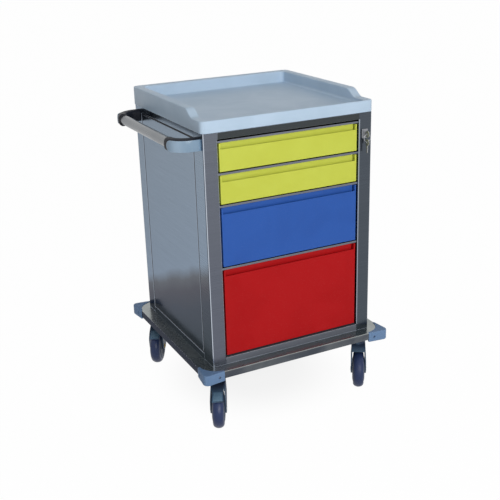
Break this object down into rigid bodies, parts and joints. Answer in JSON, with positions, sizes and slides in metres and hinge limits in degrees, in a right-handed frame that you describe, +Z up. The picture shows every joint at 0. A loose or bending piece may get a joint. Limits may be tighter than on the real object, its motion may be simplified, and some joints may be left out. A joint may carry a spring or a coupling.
{
  "type": "instrument cart",
  "caption": "Wheeled steel instrument cart with coloured drawers, a rimmed worktop tray, a side push handle, corner bumpers and swivel casters.",
  "frame": {"origin": "on the floor, under the middle of the overall box", "axes": "+Z up, +Y from the drawer fronts to the back, +X to the right as seen from the drawer side"},
  "size_m": [0.725, 0.6854, 1.0125],
  "materials": {
    "stainless": "brushed stainless sheet",
    "worktop_plastic": "moulded, semi-gloss",
    "drawer_yellow": "smooth powder coat",
    "drawer_blue": "smooth powder coat",
    "drawer_red": "smooth powder coat",
    "drawer_box_grey": "smooth powder coat",
    "slide_zinc": "zinc plated",
    "hardware_zinc": "zinc plated",
    "bumper_grey": "moulded, satin",
    "elbow_black": "moulded, satin",
    "cover_grey": "moulded, glossy",
    "caster_housing": "moulded, satin",
    "caster_tyre": "solid rubber tread",
    "caster_hub": "moulded, satin",
    "pedal_black": "moulded, satin",
    "lock_nickel": "nickel plated"
  },
  "bodies": {
    "cabinet": {"front_left_upright": "stainless", "front_right_upright": "stainless", "rear_shell": "stainless", "top_deck": "stainless", "floor_pan": "stainless", "right_side_panel": "stainless", "left_side_panel": "stainless", "front_top_rail": "stainless", "front_bottom_rail": "stainless", "divider_rails": "stainless", "cabinet_slides": "slide_zinc", "base_frame": "stainless", "corner_bumpers": "bumper_grey", "fixing_screws": "hardware_zinc", "worktop": "worktop_plastic", "handle_elbow_front": "elbow_black", "handle_elbow_rear": "elbow_black", "handle_elbow_covers": "cover_grey", "handle_bar": "stainless", "lock_barrel": "lock_nickel", "caster_stems": "hardware_zinc"},
    "drawer_1": {"drawer_1_front": "drawer_yellow", "drawer_1_box": "drawer_box_grey", "drawer_1_slides": "slide_zinc"},
    "slide_stage_1": {"drawer_1_middle_slides": "slide_zinc"},
    "drawer_2": {"drawer_2_front": "drawer_yellow", "drawer_2_box": "drawer_box_grey", "drawer_2_slides": "slide_zinc"},
    "slide_stage_2": {"drawer_2_middle_slides": "slide_zinc"},
    "drawer_3": {"drawer_3_front": "drawer_blue", "drawer_3_box": "drawer_box_grey", "drawer_3_slides": "slide_zinc"},
    "slide_stage_3": {"drawer_3_middle_slides": "slide_zinc"},
    "drawer_4": {"drawer_4_front": "drawer_red", "drawer_4_box": "drawer_box_grey", "drawer_4_slides": "slide_zinc"},
    "slide_stage_4": {"drawer_4_middle_slides": "slide_zinc"},
    "lock_cylinder": {"lock_plug": "lock_nickel", "key": "lock_nickel", "key_ring": "lock_nickel"},
    "spare_key": {"spare_key": "lock_nickel"},
    "lock_bar": {"lock_bar": "slide_zinc"},
    "caster_front_left": {"caster_front_left_fork": "caster_housing", "caster_front_left_axle": "hardware_zinc"},
    "wheel_front_left": {"caster_front_left_tyre": "caster_tyre", "caster_front_left_hub": "caster_hub"},
    "pedal_front_left": {"brake_pedal_front_left": "pedal_black"},
    "caster_front_right": {"caster_front_right_fork": "caster_housing", "caster_front_right_axle": "hardware_zinc"},
    "wheel_front_right": {"caster_front_right_tyre": "caster_tyre", "caster_front_right_hub": "caster_hub"},
    "caster_rear_left": {"caster_rear_left_fork": "caster_housing", "caster_rear_left_axle": "hardware_zinc"},
    "wheel_rear_left": {"caster_rear_left_tyre": "caster_tyre", "caster_rear_left_hub": "caster_hub"},
    "pedal_rear_left": {"brake_pedal_rear_left": "pedal_black"},
    "caster_rear_right": {"caster_rear_right_fork": "caster_housing", "caster_rear_right_axle": "hardware_zinc"},
    "wheel_rear_right": {"caster_rear_right_tyre": "caster_tyre", "caster_rear_right_hub": "caster_hub"}
  },
  "joints": [
    {"name": "drawer_1_slide", "type": "slide", "parent": "cabinet", "child": "drawer_1", "axis": [0, -1, 0], "range_m": [0, 0.4]},
    {"name": "stage_1_slide", "type": "slide", "parent": "cabinet", "child": "slide_stage_1", "axis": [0, -1, 0], "range_m": [0, 0.2]},
    {"name": "drawer_2_slide", "type": "slide", "parent": "cabinet", "child": "drawer_2", "axis": [0, -1, 0], "range_m": [0, 0.4]},
    {"name": "stage_2_slide", "type": "slide", "parent": "cabinet", "child": "slide_stage_2", "axis": [0, -1, 0], "range_m": [0, 0.2]},
    {"name": "drawer_3_slide", "type": "slide", "parent": "cabinet", "child": "drawer_3", "axis": [0, -1, 0], "range_m": [0, 0.4]},
    {"name": "stage_3_slide", "type": "slide", "parent": "cabinet", "child": "slide_stage_3", "axis": [0, -1, 0], "range_m": [0, 0.2]},
    {"name": "drawer_4_slide", "type": "slide", "parent": "cabinet", "child": "drawer_4", "axis": [0, -1, 0], "range_m": [0, 0.4]},
    {"name": "stage_4_slide", "type": "slide", "parent": "cabinet", "child": "slide_stage_4", "axis": [0, -1, 0], "range_m": [0, 0.2]},
    {"name": "lock_turn", "type": "hinge", "parent": "cabinet", "child": "lock_cylinder", "pos_m": [0.28454, -0.26523, 0.8845], "axis": [0, -1, 0], "range_deg": [0, 90]},
    {"name": "spare_key_swing", "type": "hinge", "parent": "lock_cylinder", "child": "spare_key", "pos_m": [0.28454, -0.28173, 0.8725], "axis": [0, -1, 0], "range_deg": [-90, 0]},
    {"name": "lock_bar_drop", "type": "slide", "parent": "cabinet", "child": "lock_bar", "axis": [0, 0, -1], "range_m": [0, 0.0091]},
    {"name": "front_left_swivel", "type": "hinge", "parent": "cabinet", "child": "caster_front_left", "pos_m": [-0.24946, -0.24523, 0.1455], "axis": [0, 0, 1], "continuous": true},
    {"name": "front_left_roll", "type": "hinge", "parent": "caster_front_left", "child": "wheel_front_left", "pos_m": [-0.26762, -0.28087, 0.0625], "axis": [0.891, -0.454, 0], "continuous": true},
    {"name": "front_left_brake", "type": "hinge", "parent": "caster_front_left", "child": "pedal_front_left", "pos_m": [-0.25945, -0.26483, 0.14], "axis": [0.891, -0.454, 0], "range_deg": [0, 3]},
    {"name": "front_right_swivel", "type": "hinge", "parent": "cabinet", "child": "caster_front_right", "pos_m": [0.28854, -0.24523, 0.1455], "axis": [0, 0, 1], "continuous": true},
    {"name": "front_right_roll", "type": "hinge", "parent": "caster_front_right", "child": "wheel_front_right", "pos_m": [0.26676, -0.27877, 0.0625], "axis": [0.8387, -0.5446, 0], "continuous": true},
    {"name": "rear_left_swivel", "type": "hinge", "parent": "cabinet", "child": "caster_rear_left", "pos_m": [-0.24946, 0.27477, 0.1455], "axis": [0, 0, 1], "continuous": true},
    {"name": "rear_left_roll", "type": "hinge", "parent": "caster_rear_left", "child": "wheel_rear_left", "pos_m": [-0.27124, 0.24123, 0.0625], "axis": [0.8387, -0.5446, 0], "continuous": true},
    {"name": "rear_left_brake", "type": "hinge", "parent": "caster_rear_left", "child": "pedal_rear_left", "pos_m": [-0.26144, 0.25632, 0.14], "axis": [0.8387, -0.5446, 0], "range_deg": [0, 3]},
    {"name": "rear_right_swivel", "type": "hinge", "parent": "cabinet", "child": "caster_rear_right", "pos_m": [0.28854, 0.27477, 0.1455], "axis": [0, 0, 1], "continuous": true},
    {"name": "rear_right_roll", "type": "hinge", "parent": "caster_rear_right", "child": "wheel_rear_right", "pos_m": [0.26283, 0.24413, 0.0625], "axis": [0.766, -0.6428, 0], "continuous": true}
  ],
  "couplings": [
    {"joint": "stage_1_slide", "follows": "drawer_1_slide", "ratio": 0.5},
    {"joint": "stage_2_slide", "follows": "drawer_2_slide", "ratio": 0.5},
    {"joint": "stage_3_slide", "follows": "drawer_3_slide", "ratio": 0.5},
    {"joint": "stage_4_slide", "follows": "drawer_4_slide", "ratio": 0.5},
    {"joint": "spare_key_swing", "follows": "lock_turn", "ratio": -1},
    {"joint": "lock_bar_drop", "follows": "lock_turn", "m_per_rad": 0.0057296}
  ]
}
